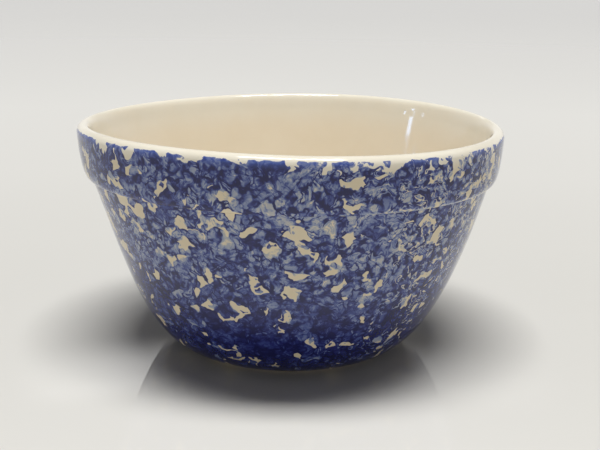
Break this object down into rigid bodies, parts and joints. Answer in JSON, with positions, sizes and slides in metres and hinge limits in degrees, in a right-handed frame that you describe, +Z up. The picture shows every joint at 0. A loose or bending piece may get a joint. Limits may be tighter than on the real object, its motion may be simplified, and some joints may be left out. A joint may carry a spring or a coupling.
{
  "type": "prep bowl",
  "caption": "Round flared stoneware prep bowl with a thick round lip, a plain collar band, a low foot ring, and a sponged blue outside over a cream glaze.",
  "frame": {"origin": "on the bowl's axis, in the plane that the foot ring stands on", "axes": "+Z up along the bowl's axis, X and Y any two level directions, as the bowl is round"},
  "size_m": [0.21, 0.21, 0.115],
  "materials": {
    "bare_stoneware": "dry fired clay, matt and slightly gritty",
    "cream_glaze": "clear gloss glaze over a cream ground",
    "sponged_glaze": "clear gloss glaze over cobalt dabs sponged on a cream ground"
  },
  "bodies": {
    "root": {"stoneware_body": "bare_stoneware", "inside_glaze": "cream_glaze", "outside_glaze": "sponged_glaze", "base_glaze": "cream_glaze"}
  },
  "joints": []
}
